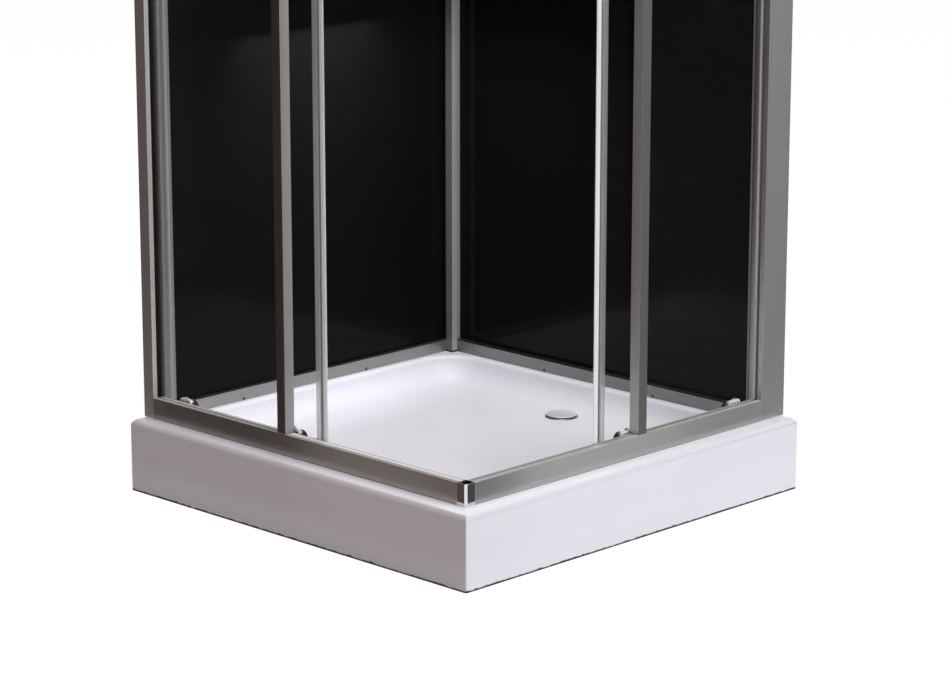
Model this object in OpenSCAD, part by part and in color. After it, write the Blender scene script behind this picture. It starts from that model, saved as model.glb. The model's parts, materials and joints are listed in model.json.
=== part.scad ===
// Square corner-entry shower cabin: tray, aluminium frame, black glass walls,
// two sliding glass doors, a bar mixer and an overhead shower.
// Millimetres, +Z up, origin on the floor under the middle of the tray.
// Walls stand on the -X and +Y sides. The front (-Y) and the side (+X) each hold
// a fixed pane and a door, and the doors meet at the (+X, -Y) corner.

/* [Tray] */
// Side of the square tray
tray_w = 900; // [880:10:1000]
// Height of the tray rim above the floor
tray_h = 142; // [136:1:180]
// Thickness of the acrylic shell
tray_wall = 5; // [3:0.5:7]
// Radius of the tray's top edge
tray_edge_r = 18; // [10:1:24]
// Radius of the tray's upright corners
tray_corner_r = 4; // [2:0.5:8]
// Depth of the basin below the rim
basin_depth = 50; // [40:1:60]
// Radius of the basin's upright corners
basin_corner_r = 70; // [40:1:110]
// Radius between the basin's wall and its floor
basin_floor_r = 38; // [10:1:39]
// Ledge between a rail or wall rail and the basin's edge
basin_ledge = 14; // [8:1:30]
// Side of the square steel tube under the tray
frame_tube = 30; // [20:1:32]
// Wall of the steel tube
frame_tube_wall = 2; // [1.5:0.5:3]
// Radius of a foot pad
foot_r = 22; // [15:1:30]
// Radius of a foot's screw
foot_screw_r = 5; // [4:0.5:6]

/* [Waste] */
// Distance of the waste from the basin's back edge
waste_set = 74; // [72:1:110]
// Radius of the lift-off cap
cap_r = 30.5; // [28:0.5:34]
// Radius of the throat through the tray floor
throat_r = 22; // [18:0.5:24]
// Radius of the outlet spigot
spigot_r = 20; // [16:0.5:22]
// Length of the outlet spigot beyond the trap's collar
spigot_len = 57; // [40:1:80]

/* [Frame] */
// Height of the whole cabin
cabin_h = 2050; // [1950:10:2150]
// Distance of the rails' outer faces from the tray's edge
rail_inset = 30; // [24:1:36]
// Height of a bottom rail
rail_h = 40; // [36:1:46]
// Height of a top rail
top_rail_h = 46; // [46:1:56]
// Depth of a rail, from its outer face inwards
rail_d = 48; // [48:1:54]
// Wall thickness of the aluminium profiles
skin = 2; // [1.5:0.1:2.4]
// Height of a wall rail
wall_rail_h = 24; // [18:1:30]
// Distance of the left wall's face from the tray's edge
left_wall_set = 43; // [41:1:45]
// Distance of the back wall's face from the tray's edge
back_wall_set = 71; // [69:1:73]
// Thickness of a wall pane
wall_glass_t = 6; // [5:0.5:6]
// Distance of the posts' outer sides from the tray's edge
post_inset = 8; // [4:1:12]
// Width of the left post seen from the front
left_post_w = 27; // [26:1:28]
// Depth of the left post
left_post_d = 64; // [60:1:70]
// Width of the right post seen from the side
right_post_w = 66; // [64:1:67]
// Depth of the right post
right_post_d = 32; // [28:1:34]
// Side of the chrome corner piece
corner_w = 22; // [20:1:24]

/* [Fixed panes] */
// Thickness of a fixed pane
pane_t = 6; // [5:0.5:6]
// Distance of a fixed pane behind the rail's outer face
pane_set = 11; // [10:0.5:11.5]
// Width of the end profile of a fixed pane
jamb_w = 22; // [18:1:26]
// Depth of the end profile of a fixed pane
jamb_d = 22; // [20:1:22]
// Reach of the open front door's tip beyond the front end profile
front_lap = 110; // [80:1:130]
// Reach of the open side door's tip beyond the side end profile
side_lap = 118; // [80:1:130]

/* [Doors] */
// How much narrower a door is than half the tray
door_trim = 10; // [8:1:20]
// Thickness of a door pane
door_t = 5; // [4:0.5:5.5]
// Distance of a door pane behind the rail's outer face
door_set = 30; // [30:0.5:31]
// Gap between the open front door and the left post
front_rest = 19; // [4:1:24]
// Gap between the open side door and the right post
side_rest = 4; // [4:1:24]
// Section of the leading edge profile
edge_w = 14; // [12:0.5:15]
// Gap left between the closing strips of the two doors
close_gap = 0.4; // [0.3:0.1:1]
// Distance from the leading tip to the first wheel
lead_wheel = 86; // [80:1:95]
// Distance from the trailing edge to the second wheel
trail_wheel = 50; // [40:1:60]
// Outer radius of a bottom guide wheel
guide_wheel_r = 13; // [12:0.5:13.5]
// Outer radius of a top wheel
top_wheel_r = 11; // [9:0.5:11.5]
// Depth of the groove in a wheel
wheel_groove = 2; // [1:0.1:2.5]
// Thickness of a wheel
wheel_t = 6; // [5:0.5:6]
// Height of the middle of the handles
handle_z = 1100; // [1050:10:1150]
// Length of a handle
handle_len = 200; // [160:10:300]
// Radius of a handle's bar
handle_r = 6; // [5:0.5:7]
// Reach of a handle from the door pane
handle_reach = 38; // [34:1:44]

/* [Shower] */
// Distance of the mixer from the tray's middle
mixer_x = 40; // [0:5:100]
// Height of the mixer
mixer_z = 1120; // [1100:10:1200]
// Distance between the mixer's two supply pipes
supply_span = 150; // [150:1:153]
// Radius of a supply tail's thread
supply_r = 10.4; // [10:0.1:10.5]
// Radius of the mixer's bar
mixer_r = 23; // [20:1:25]
// Distance of the mixer's bar from the back wall
mixer_reach = 55; // [50:1:65]
// Radius of the riser pipe
riser_r = 9.5; // [8:0.5:11]
// Distance from the riser to the overhead shower
arm_reach = 300; // [260:10:340]
// Height of the riser's arm
arm_z = 1975; // [1900:5:1985]
// Radius of the overhead shower
head_r = 100; // [80:5:125]
// Length of the mixer's lever
lever_len = 110; // [80:5:130]

/* [Clearances] */
// Clearance round a pane in its groove
pane_gap = 0.3; // [0.2:0.1:0.5]
// Gap between a wheel and its track
roll_gap = 0.3; // [0.2:0.1:0.5]
// Radial clearance of a pin in its bore
run_gap = 0.05; // [0.03:0.01:0.08]
// Side clearance of a moving piece
side_gap = 0.4; // [0.3:0.1:0.6]

/* [Hidden] */
$fn = 48;

// Planes that everything else is placed from
half = tray_w / 2;
face = half - rail_inset;              // outer face of the rails
rail_top = tray_h + rail_h;            // top of a bottom rail
top_rail_z = cabin_h - top_rail_h;     // underside of a top rail
left_face = left_wall_set - half;      // inner face of the left wall, in X
back_face = half - back_wall_set;      // inner face of the back wall, in Y
floor_z = tray_h - basin_depth;        // top of the basin's floor
left_post_face = left_post_w + post_inset - half;    // along the front
right_post_face = right_post_w + post_inset - half;  // along the side
post_out = post_inset - half;
door_w = half - door_trim;             // a door with its closing strip
front_open = left_post_face + front_rest + door_w;   // leading tips of the open doors
side_open = right_post_face + side_rest + door_w;
wheel_span = door_w - lead_wheel - trail_wheel;
left_rail_in = 13;                     // how far the wall rails stand in from the panes
back_rail_in = 19;

// Rail section, as distances behind the outer face
top_band = corner_w;                   // depth of the raised outer part
groove_in = pane_set - 0.6;            // glass groove
seal_t = 3;
groove_out = pane_set + pane_t + seal_t;
groove_depth = 20;
track_floor = 12;                      // height of the inner track's floor
track_axis = 41;                       // middle of the running fin
fin_t = 2;
fin_h = 5;
lip_h = 4;
shelf_drop = 34;                       // top rail: underside of the shelf
shelf_in = 38.7;
shelf_t = 2;
top_fin_h = 4;

// Heights of the wheels and of the doors
guide_roll = guide_wheel_r - wheel_groove;
top_roll = top_wheel_r - wheel_groove;
guide_axle_z = tray_h + track_floor + fin_h + guide_roll + roll_gap;
top_axle_z = cabin_h - shelf_drop + shelf_t + top_fin_h + top_roll + roll_gap;
door_bottom = tray_h + track_floor + fin_h + 7;
door_top = top_rail_z + 6;
edge_top = top_rail_z - 6;
edge_in = door_set + door_t / 2 - edge_w / 2;   // outer side of the leading profile
strip_root = 2;                        // closing strip at its thinnest
strip_w = edge_w + strip_root;
closed_tip = face - edge_in - close_gap;
plate_t = 2.2;                         // hanger plates and guide arms
arm_in = door_set + door_t + side_gap;
wheel_out = track_axis + wheel_t / 2;
wheel_in = track_axis - wheel_t / 2;
axle_head_t = 0.8;
axle_head_gap = 0.2;
pivot_dx = 16;                         // guide arm: pivot to wheel, along the rail
pivot_z = tray_h + rail_h;
pivot_r = 4;
guide_axle_r = 2.5;
top_axle_r = 3;
arm_w = 12;
guide_plate_l = 30;
guide_plate_t = 4.4;
screw_from_wheel = 4;
hanger_w = 36;
hanger_screw_drop = 26;                // below the top of the pane
hanger_screw_z = door_top - hanger_screw_drop;
hanger_screw_r = 4.5;
button_r = 10;
button_t = 8;
handle_from_tip = 50;
handle_screw_r = 4;

// Colours
acrylic = [0.92, 0.92, 0.95];
satin = [0.62, 0.61, 0.6];
chrome = [0.82, 0.83, 0.85];
black_glass = [0.05, 0.05, 0.055];
clear_glass = [0.78, 0.86, 0.86, 0.35];
rubber = [0.08, 0.08, 0.08];
steel = [0.45, 0.46, 0.48];
plastic = [0.85, 0.86, 0.88];

// A wing is one door side. It is drawn as the front: s runs along X towards the
// door corner, d is the distance behind the rail's outer face.
module on_front() translate([0, -face, 0]) children();
module on_side() mirror([1, 1, 0]) translate([0, -face, 0]) children();

// Upright prism of the (s, d) outline given as children
module upright(z0, z1) translate([0, 0, z0]) linear_extrude(z1 - z0) children();

// Disc or pin lying across a wing, from depth d0 to d1
module across(s, z, r, d0, d1) translate([s, d0, z]) rotate([-90, 0, 0]) cylinder(r = r, h = d1 - d0);

// Axle from depth d0 through a piece that ends at d1, with the head that keeps it on
module axle(s, z, r, d0, d1) {
  across(s, z, r, d0, d1 + axle_head_gap + axle_head_t);
  across(s, z, r + 1.5, d1 + axle_head_gap, d1 + axle_head_gap + axle_head_t);
}

// Plate of an (s, z) outline, from depth d0 to d1
module plate_across(d0, d1) translate([0, d1, 0]) rotate([90, 0, 0]) linear_extrude(d1 - d0) children();

module rect(x0, y0, x1, y1) translate([x0, y0]) square([x1 - x0, y1 - y0]);

module slot2d(p, q, r) {
  a = atan2(q[1] - p[1], q[0] - p[0]);
  l = norm(q - p);
  translate(p) circle(r);
  translate(q) circle(r);
  translate(p) rotate(a) translate([0, -r]) square([l, 2 * r]);
}

// Tray

// Half section of a slab at a corner: corner radius c, lower edge radius r, height h
module slab_section(c, r, h) {
  if (c > r) square([c - r, h]);
  translate([0, r]) square([c, h - r]);
  intersection() {
    translate([c - r, r]) circle(r);
    square([c, h]);
  }
}

// Slab over the plan x0..x1, y0..y1 with round upright corners and a round lower edge
module slab(x0, y0, x1, y1, c, r, h) {
  lx = x1 - x0 - 2 * c;
  ly = y1 - y0 - 2 * c;
  translate([x0 + c, y0 + c, 0]) cube([lx, ly, h]);
  for (k = [[x1 - c, y1 - c, 0, ly], [x0 + c, y1 - c, 90, lx],
            [x0 + c, y0 + c, 180, ly], [x1 - c, y0 + c, 270, lx]])
    translate([k[0], k[1], 0]) rotate(k[2]) {
      rotate_extrude(angle = 90) slab_section(c, r, h);
      rotate([90, 0, 0]) linear_extrude(k[3]) slab_section(c, r, h);
    }
}

// Square block with upright corners of radius c and a top edge of radius r, mitred at the corners
module round_block(w, h, c, r) intersection() {
  linear_extrude(h) {
    rect(c - w / 2, -w / 2, w / 2 - c, w / 2);
    rect(-w / 2, c - w / 2, w / 2, w / 2 - c);
    for (x = [c - w / 2, w / 2 - c], y = [c - w / 2, w / 2 - c]) translate([x, y]) circle(c);
  }
  round_top_bar(w, h, r);
  rotate(90) round_top_bar(w, h, r);
}

// Bar along X, w wide and h high, with both top edges round
module round_top_bar(w, h, r) translate([-w / 2 - 1, 0, 0]) rotate([90, 0, 90]) linear_extrude(w + 2) {
  rect(-w / 2, 0, w / 2, h - r);
  rect(r - w / 2, 0, w / 2 - r, h);
  for (x = [r - w / 2, w / 2 - r]) translate([x, h - r]) circle(r);
}

// Plan of the basin
basin_x0 = left_face + left_rail_in + basin_ledge;
basin_x1 = face - rail_d - 2;
basin_y0 = -basin_x1;
basin_y1 = back_face - back_rail_in - basin_ledge;
waste_y = basin_y1 - waste_set;

// The basin's hollow, grown by g, from its floor up to height z1
module basin_block(g, z1) translate([0, 0, floor_z - g])
  slab(basin_x0 - g, basin_y0 - g, basin_x1 + g, basin_y1 + g,
       basin_corner_r + g, basin_floor_r + g, z1 - floor_z + g);

flange_r = cap_r + 2.5;
flange_t = 3.5;
flange_sink = 2;
neck_wall = 3;
neck_len = 34;
neck_lip = 3;
notch_w = 90;
notch_h = 84;
notch_r = 20;

module tray() color(acrylic) difference() {
  union() {
    difference() {
      round_block(tray_w, tray_h, tray_corner_r, tray_edge_r);
      translate([0, 0, -1])
        round_block(tray_w - 2 * tray_wall, tray_h - tray_wall + 1, tray_corner_r / 2, tray_edge_r - tray_wall);
    }
    basin_block(tray_wall, tray_h - tray_wall / 2);
  }
  basin_block(0, tray_h + 1);
  translate([0, waste_y, floor_z - flange_sink]) cylinder(r = flange_r + pane_gap, h = flange_t);
  translate([0, waste_y, floor_z - 2 * tray_wall])
    cylinder(r = throat_r + neck_wall + pane_gap, h = 3 * tray_wall);
  translate([0, half + tray_wall, 0]) rotate([90, 0, 0]) linear_extrude(3 * tray_wall) {
    rect(-notch_w / 2, -1, notch_w / 2, notch_h - notch_r);
    rect(notch_r - notch_w / 2, -1, notch_w / 2 - notch_r, notch_h);
    for (x = [notch_r - notch_w / 2, notch_w / 2 - notch_r])
      translate([x, notch_h - notch_r]) circle(notch_r);
  }
}

// Steel frame under the basin's floor
frame_in = 24;                         // distance of the frame from the basin's walls
frame_top = floor_z - tray_wall;
frame_x = basin_x1 - frame_in - frame_tube / 2;
frame_y0 = basin_y0 + frame_in;
frame_y1 = waste_y - cap_r - frame_tube;
frame_bars = [frame_y0, (frame_y0 + frame_y1) / 2 - frame_tube / 2, frame_y1 - frame_tube];

module box_tube(l) difference() {
  cube([l, frame_tube, frame_tube]);
  translate([-1, frame_tube_wall, frame_tube_wall])
    cube([l + 2, frame_tube - 2 * frame_tube_wall, frame_tube - 2 * frame_tube_wall]);
}

module tray_frame() color(steel) {
  for (x = [-frame_x, frame_x])
    translate([x + frame_tube / 2, frame_y0, frame_top - frame_tube]) rotate(90)
      box_tube(frame_y1 - frame_y0 + frame_tube);
  for (y = frame_bars)
    translate([-frame_x + frame_tube / 2, y, frame_top - frame_tube])
      box_tube(2 * frame_x - frame_tube);
}

pad_h = 8;
nut_h = 8;
foot_z = frame_top - frame_tube;
foot_spots = [
  [-frame_x, frame_y0 + frame_tube], [frame_x, frame_y0 + frame_tube],
  [-frame_x, frame_y1 - frame_tube / 2], [frame_x, frame_y1 - frame_tube / 2],
  [0, frame_bars[1] + frame_tube / 2]
];

module foot() {
  rotate_extrude() polygon([[0, 0], [foot_r, 0], [foot_r, pad_h / 2], [foot_r - 4, pad_h], [0, pad_h]]);
  cylinder(r = foot_screw_r, h = foot_z);
  translate([0, 0, foot_z - nut_h]) cylinder(r = 1.9 * foot_screw_r, h = nut_h, $fn = 6);
}

module tray_feet() color(rubber) for (p = foot_spots) translate([p[0], p[1], 0]) foot();

// Waste: a flange above the floor, a seal and a trap below it, and a lift-off cap
seal_h = 3;
trap_wall = 3;
trap_r = throat_r + neck_wall + 12;
trap_top = floor_z - tray_wall - seal_h;
trap_bottom = 14;
collar_l = 3;
spigot_end = trap_r + collar_l + spigot_len;
spigot_z = trap_bottom + spigot_r + trap_wall + 8;

module waste_flange() color(chrome) translate([0, waste_y, floor_z]) rotate_extrude() polygon([
  [throat_r, flange_t - flange_sink - 0.6], [throat_r + 4, flange_t - flange_sink],
  [flange_r - 1, flange_t - flange_sink], [flange_r, flange_t - flange_sink - 1],
  [flange_r, -flange_sink], [throat_r + neck_wall, -flange_sink],
  [throat_r + neck_wall, -neck_len], [throat_r - neck_lip, -neck_len],
  [throat_r - neck_lip, 2 - neck_len], [throat_r, 2 - neck_len]
]);

module waste_seal() color(rubber) translate([0, waste_y, trap_top]) difference() {
  cylinder(r = trap_r - 1, h = seal_h);
  translate([0, 0, -1]) cylinder(r = throat_r + neck_wall + 0.1, h = seal_h + 2);
}

module waste_trap() color(plastic) translate([0, waste_y, 0]) difference() {
  union() {
    translate([0, 0, trap_bottom]) cylinder(r = trap_r, h = trap_top - trap_bottom);
    translate([0, 0, spigot_z]) rotate([-90, 0, 0]) cylinder(r = spigot_r + 3, h = trap_r + collar_l);
    translate([0, 0, spigot_z]) rotate([-90, 0, 0]) cylinder(r = spigot_r, h = spigot_end);
  }
  translate([0, 0, trap_bottom + trap_wall])
    cylinder(r = trap_r - trap_wall, h = trap_top - trap_bottom - 2 * trap_wall);
  translate([0, 0, trap_top - 2 * trap_wall]) cylinder(r = throat_r + neck_wall + 0.1, h = 3 * trap_wall);
  translate([0, 0, spigot_z]) rotate([-90, 0, 0])
    cylinder(r = spigot_r - trap_wall, h = spigot_end + 1);
}

cap_gap = 4;
cap_t = 4;
cap_dome_r = (cap_r * cap_r + cap_t * cap_t) / (2 * cap_t);

module waste_cap() color(chrome) translate([0, waste_y, floor_z]) {
  translate([0, 0, cap_gap]) rotate_extrude() intersection() {
    translate([0, 1 + cap_t - cap_dome_r]) circle(cap_dome_r, $fn = 360);
    square([cap_r, 2 * cap_t]);
  }
  translate([0, 0, 2.3 - neck_len]) cylinder(r = 4, h = neck_len + cap_gap);
  for (a = [0, 60, 120])
    rotate(a) translate([side_gap - throat_r, -1, 2.3 - neck_len])
      cube([2 * (throat_r - side_gap), 2, 12]);
}

// Posts

// Post outline: s from the outer side to s1, with the pane's groove in its inner side
module post_outline(s0, s1, depth) difference() {
  rect(s0, 0, s1, depth);
  rect(s0 + skin, skin, s1 - 12, depth - skin);
  rect(s1 - 10, pane_set - pane_gap, s1 + 1, groove_out + pane_gap);
}

channel_in = groove_out + 1;
channel_w = rail_d - channel_in;
channel_s = left_face - left_post_face + 3.5;

module left_post() color(satin) on_front() upright(tray_h, cabin_h) {
  difference() {
    union() {
      post_outline(post_out, left_post_face, left_post_d);
      rect(left_post_face, channel_in, left_post_face + channel_s, channel_in + channel_w);
    }
    rect(left_face - wall_glass_t - pane_gap, channel_in + skin,
         left_face + pane_gap, channel_in + channel_w + 1);
  }
}

right_slot = 10;

module right_post() color(satin) on_side() upright(tray_h, cabin_h) difference() {
  post_outline(post_out, right_post_face, right_post_d);
  rect(-back_face - wall_glass_t - pane_gap, right_post_d - right_slot,
       -back_face + pane_gap, right_post_d + 1);
}

rear_w = 20;
rear_d = 22;
rear_back = 6;
rear_grip = 11;
column_out = 30;                       // front corner of the proud column, from both walls
column_fwd = 33;

module rear_post() color(satin) difference() {
  upright(tray_h, cabin_h) {
    rect(left_face - wall_glass_t - rear_back, back_face - rear_d,
         left_face + rear_w, back_face + wall_glass_t + rear_back);
    rect(left_face + left_rail_in, back_face - column_fwd, left_face + column_out, back_face - back_rail_in);
  }
  upright(tray_h - 1, cabin_h + 1) {
    rect(left_face - wall_glass_t - pane_gap, back_face - rear_d - 1,
         left_face + pane_gap, back_face - rear_d + rear_grip);
    rect(left_face + rear_w - rear_grip, back_face - pane_gap,
         left_face + rear_w + 1, back_face + wall_glass_t + pane_gap);
  }
}

// Walls. A wall rail's section is drawn with u as the distance inwards from the wall's face.
wall_foot = 4;

module wall_rail_section(inner) difference() {
  rect(-wall_glass_t - skin, 0, inner, wall_rail_h);
  rect(-wall_glass_t - pane_gap, wall_foot, pane_gap, wall_rail_h + 1);
  rect(skin, skin, inner - skin, wall_rail_h - skin);
}

module left_rail_bar() translate([left_face, back_face - rear_d, 0]) rotate([90, 0, 0])
  linear_extrude(back_face - rear_d + face - rail_d) wall_rail_section(left_rail_in);

// The back rails pass behind the end of the side rails to reach the right post
module back_rail_bar() difference() {
  translate([left_face + rear_w, back_face, 0]) rotate([90, 0, 90])
    linear_extrude(face - right_post_d - left_face - rear_w) mirror([1, 0]) wall_rail_section(back_rail_in);
  upright(-1, wall_rail_h + 1) rect(face - rail_d, 0, face, -right_post_face);
}

module left_wall_rail() color(satin) translate([0, 0, tray_h]) left_rail_bar();
module back_wall_rail() color(satin) translate([0, 0, tray_h]) back_rail_bar();
module left_wall_top_rail() color(satin) translate([0, 0, cabin_h]) mirror([0, 0, 1]) left_rail_bar();
module back_wall_top_rail() color(satin) translate([0, 0, cabin_h]) mirror([0, 0, 1]) back_rail_bar();

wall_z0 = tray_h + wall_foot;
wall_z1 = cabin_h - wall_foot - pane_gap;

module left_wall_glass() color(black_glass) upright(wall_z0, wall_z1)
  rect(left_face - wall_glass_t, channel_in + skin + 1 - face,
       left_face, back_face - rear_d + rear_grip - 1);

module back_wall_glass() color(black_glass) difference() {
  upright(wall_z0, wall_z1)
    rect(left_face + rear_w - rear_grip + 1, back_face,
         face - right_post_d + right_slot - 1, back_face + wall_glass_t);
  for (x = mixer_supplies)
    along_y(x, mixer_z, supply_r + 1.5, back_face - 1, back_face + wall_glass_t + 1);
}

// Rails of a wing. The section is drawn with d across and z up.
module bottom_rail_section() {
  difference() {
    rect(0, 0, top_band, rail_h);
    rect(skin, skin, groove_in - skin, rail_h - skin);
    rect(groove_in, rail_h - groove_depth, groove_out + pane_gap, rail_h + 1);
    rect(groove_in, skin, groove_out + pane_gap, rail_h - groove_depth - skin);
  }
  difference() {
    rect(top_band, 0, rail_d, track_floor);
    rect(top_band + skin, skin, rail_d - skin, track_floor - skin);
  }
  rect(track_axis - fin_t / 2, track_floor, track_axis + fin_t / 2, track_floor + fin_h);
  rect(rail_d - skin, track_floor, rail_d, track_floor + lip_h);
}

module top_rail_section() {
  difference() {
    rect(0, -top_rail_h, top_band, 0);
    rect(skin, skin - top_rail_h, groove_in - skin, -skin);
    rect(groove_in, -top_rail_h - 1, groove_out + pane_gap, groove_depth - top_rail_h);
    rect(groove_in, groove_depth + skin - top_rail_h, groove_out + pane_gap, -skin);
  }
  rect(top_band, -skin, rail_d, 0);
  rect(rail_d - skin, -shelf_drop, rail_d, 0);
  rect(shelf_in, -shelf_drop, rail_d, shelf_t - shelf_drop);
  rect(track_axis - fin_t / 2, shelf_t - shelf_drop,
       track_axis + fin_t / 2, shelf_t + top_fin_h - shelf_drop);
}

// A rail from s0 to the door corner, mitred there and cut away for the corner piece
cut_h = 2 * top_rail_h;                // taller than any rail

module rail_bar(s0, z) difference() {
  translate([s0, 0, z]) rotate([90, 0, 90]) linear_extrude(face - s0) children();
  upright(z - cut_h, z + cut_h)
    polygon([[face, 0], [face + 1, 0], [face + 1, rail_d + 1], [face - rail_d - 1, rail_d + 1]]);
  upright(z - cut_h, z + cut_h) rect(face - corner_w, -1, face + 1, corner_w);
}

// The front rails step back behind the left wall's channel
module channel_cut(z) upright(z - cut_h, z + cut_h)
  rect(left_post_face - 1, channel_in - pane_gap, left_post_face + channel_s + pane_gap, rail_d + 1);

module front_bottom_rail() color(satin) on_front() difference() {
  rail_bar(left_post_face, tray_h) bottom_rail_section();
  channel_cut(tray_h);
}
module side_bottom_rail() color(satin) on_side() rail_bar(right_post_face, tray_h) bottom_rail_section();
module front_top_rail() color(satin) on_front() difference() {
  rail_bar(left_post_face, cabin_h) top_rail_section();
  channel_cut(cabin_h);
}
module side_top_rail() color(satin) on_side() rail_bar(right_post_face, cabin_h) top_rail_section();

// Chrome corner piece with a tongue in each rail
corner_r = 5;
proud = 0.8;
tongue_l = 18;
tongue_gap = 0.3;

module corner_piece(h) {
  linear_extrude(h + proud) intersection() {
    rect(face - corner_w, -proud, face + proud, corner_w);
    union() {
      rect(face - corner_w, -proud, face + proud - corner_r, corner_w);
      rect(face - corner_w, corner_r - proud, face + proud, corner_w);
      translate([face + proud - corner_r, corner_r - proud]) circle(corner_r);
    }
  }
  translate([face - corner_w - tongue_l, skin + tongue_gap, skin + tongue_gap])
    cube([tongue_l, groove_in - 2 * (skin + tongue_gap), h - 2 * (skin + tongue_gap)]);
  translate([face - groove_in + skin + tongue_gap, corner_w, skin + tongue_gap])
    cube([groove_in - 2 * (skin + tongue_gap), tongue_l, h - 2 * (skin + tongue_gap)]);
}

module bottom_corner() color(chrome) on_front() translate([0, 0, tray_h]) corner_piece(rail_h);
module top_corner() color(chrome) on_front() translate([0, 0, cabin_h]) mirror([0, 0, 1])
  corner_piece(top_rail_h);

// Fixed panes with their end profiles
module fixed_pane(post_s, jamb_s) upright(rail_top - groove_depth + 1, top_rail_z + groove_depth - 1)
  rect(post_s - 9, pane_set, jamb_s + jamb_w / 2, pane_set + pane_t);

module jamb(jamb_s) upright(rail_top, top_rail_z) difference() {
  rect(jamb_s, skin, jamb_s + jamb_w, skin + jamb_d);
  rect(jamb_s - 1, pane_set - pane_gap, jamb_s + jamb_w / 2 + pane_gap, pane_set + pane_t + pane_gap);
  rect(jamb_s + jamb_w / 2 + skin, 2 * skin, jamb_s + jamb_w - skin, jamb_d);
}

module glazing_seal(post_s) upright(rail_top, top_rail_z)
  rect(post_s - 8, pane_set + pane_t + 0.1, post_s + 3, groove_out);

brush_z0 = rail_top + 20;
brush_z1 = hanger_screw_z - 20;

module jamb_brush(jamb_s) upright(brush_z0, brush_z1)
  polygon([[jamb_s + 2, skin + jamb_d], [jamb_s + 8, skin + jamb_d],
           [jamb_s + 6, door_set - side_gap], [jamb_s + 4, door_set - side_gap]]);

module front_fixed_glass() color(clear_glass) on_front() fixed_pane(left_post_face, front_open - front_lap);
module side_fixed_glass() color(clear_glass) on_side() fixed_pane(right_post_face, side_open - side_lap);
module front_jamb() color(satin) on_front() jamb(front_open - front_lap);
module side_jamb() color(satin) on_side() jamb(side_open - side_lap);
module glazing_seals() color(rubber) {
  on_front() glazing_seal(left_post_face);
  on_side() glazing_seal(right_post_face);
}
module jamb_brushes() color(rubber) {
  on_front() jamb_brush(front_open - front_lap);
  on_side() jamb_brush(side_open - side_lap);
}

// Rubber stops in the top rails, one before and one after each door's travel
stop_l = 10;
stop_h = 18;

module stop_block(s) translate([s, door_set - 2, cabin_h - skin - stop_h])
  cube([stop_l, door_t + plate_t + 2.2, stop_h]);

module stop_pair(open_tip) {
  stop_block(open_tip - lead_wheel - wheel_span - hanger_w / 4 - side_gap - stop_l);
  stop_block(closed_tip - lead_wheel + hanger_w / 4 + side_gap);
}

module door_stops() color(rubber) {
  on_front() stop_pair(front_open);
  on_side() stop_pair(side_open);
}

// Screws: through the posts into the rails, and plugs along the wall rails
screw_r = 3;
screw_h = 1.6;
plug_z = tray_h + screw_r + 0.5;
post_screw_z = [tray_h + rail_h / 4, cabin_h - top_rail_h / 4];
left_plugs = [-face / 2, face * 0.28];
back_plugs = [-face * 0.31, face * 0.38];

module screw_head() rotate_extrude() polygon([
  [0, 0], [screw_r, 0], [screw_r - 0.5, screw_h * 0.7], [screw_r - 1.5, screw_h], [0, screw_h]
]);

module frame_screws() color(chrome) {
  for (z = post_screw_z)
    on_side() translate([post_out + right_post_w * 0.16, 0, z]) rotate([90, 0, 0]) screw_head();
  for (y = left_plugs)
    translate([left_face + left_rail_in, y, plug_z]) rotate([0, 90, 0]) screw_head();
  for (x = back_plugs)
    translate([x, back_face - back_rail_in, plug_z]) rotate([90, 0, 0]) screw_head();
}

// Doors. Every piece is drawn from the leading tip of the open door.
function wheel_s(tip, i) = tip - lead_wheel - i * wheel_span;
handle_legs = [handle_z - handle_len / 2 + handle_r, handle_z + handle_len / 2 - handle_r];

module door_pane(tip) difference() {
  upright(door_bottom, door_top)
    rect(tip - door_w, door_set, tip - strip_w - 4, door_set + door_t);
  for (i = [0, 1]) {
    s = wheel_s(tip, i);
    across(s - pivot_dx, pivot_z, pivot_r + pane_gap, door_set - 1, door_set + door_t + 1);
    across(s + screw_from_wheel, pivot_z, pivot_r + pane_gap, door_set - 1, door_set + door_t + 1);
    across(s, hanger_screw_z, hanger_screw_r + pane_gap, door_set - 1, door_set + door_t + 1);
  }
  for (z = handle_legs)
    across(tip - handle_from_tip, z, handle_screw_r + pane_gap, door_set - 1, door_set + door_t + 1);
}

module edge_profile(tip) upright(door_bottom, edge_top) difference() {
  rect(tip - strip_w - edge_w, edge_in, tip - strip_w, edge_in + edge_w);
  rect(tip - strip_w - edge_w - 1, door_set - 0.1, tip - strip_w - 4 + 0.3, door_set + door_t + 0.1);
}

module closing_strip(tip) upright(door_bottom, edge_top) polygon([
  [tip, edge_in], [tip - edge_w, edge_in + edge_w],
  [tip - strip_w, edge_in + edge_w], [tip - strip_w, edge_in]
]);

// A D-shaped bar outside the pane with flat buttons inside it
bend_r = 14;

module handle(tip) translate([tip - handle_from_tip, 0, 0]) {
  out = door_set - handle_reach;
  for (i = [0, 1]) {
    z = handle_legs[i];
    across(0, z, handle_r, out + bend_r, door_set);
    across(0, z, 1.8 * handle_r, door_set - 3, door_set);
    across(0, z, handle_screw_r, door_set - 1, door_set + door_t + 1);
    across(0, z, button_r, door_set + door_t, door_set + door_t + button_t);
    translate([0, out + bend_r, z + (i == 0 ? bend_r : -bend_r)]) rotate([0, 90, 0])
      rotate([0, 0, i == 0 ? -90 : 180]) rotate_extrude(angle = 90) translate([bend_r, 0]) circle(handle_r);
  }
  translate([0, out, handle_legs[0] + bend_r])
    cylinder(r = handle_r, h = handle_legs[1] - handle_legs[0] - 2 * bend_r);
}

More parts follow.
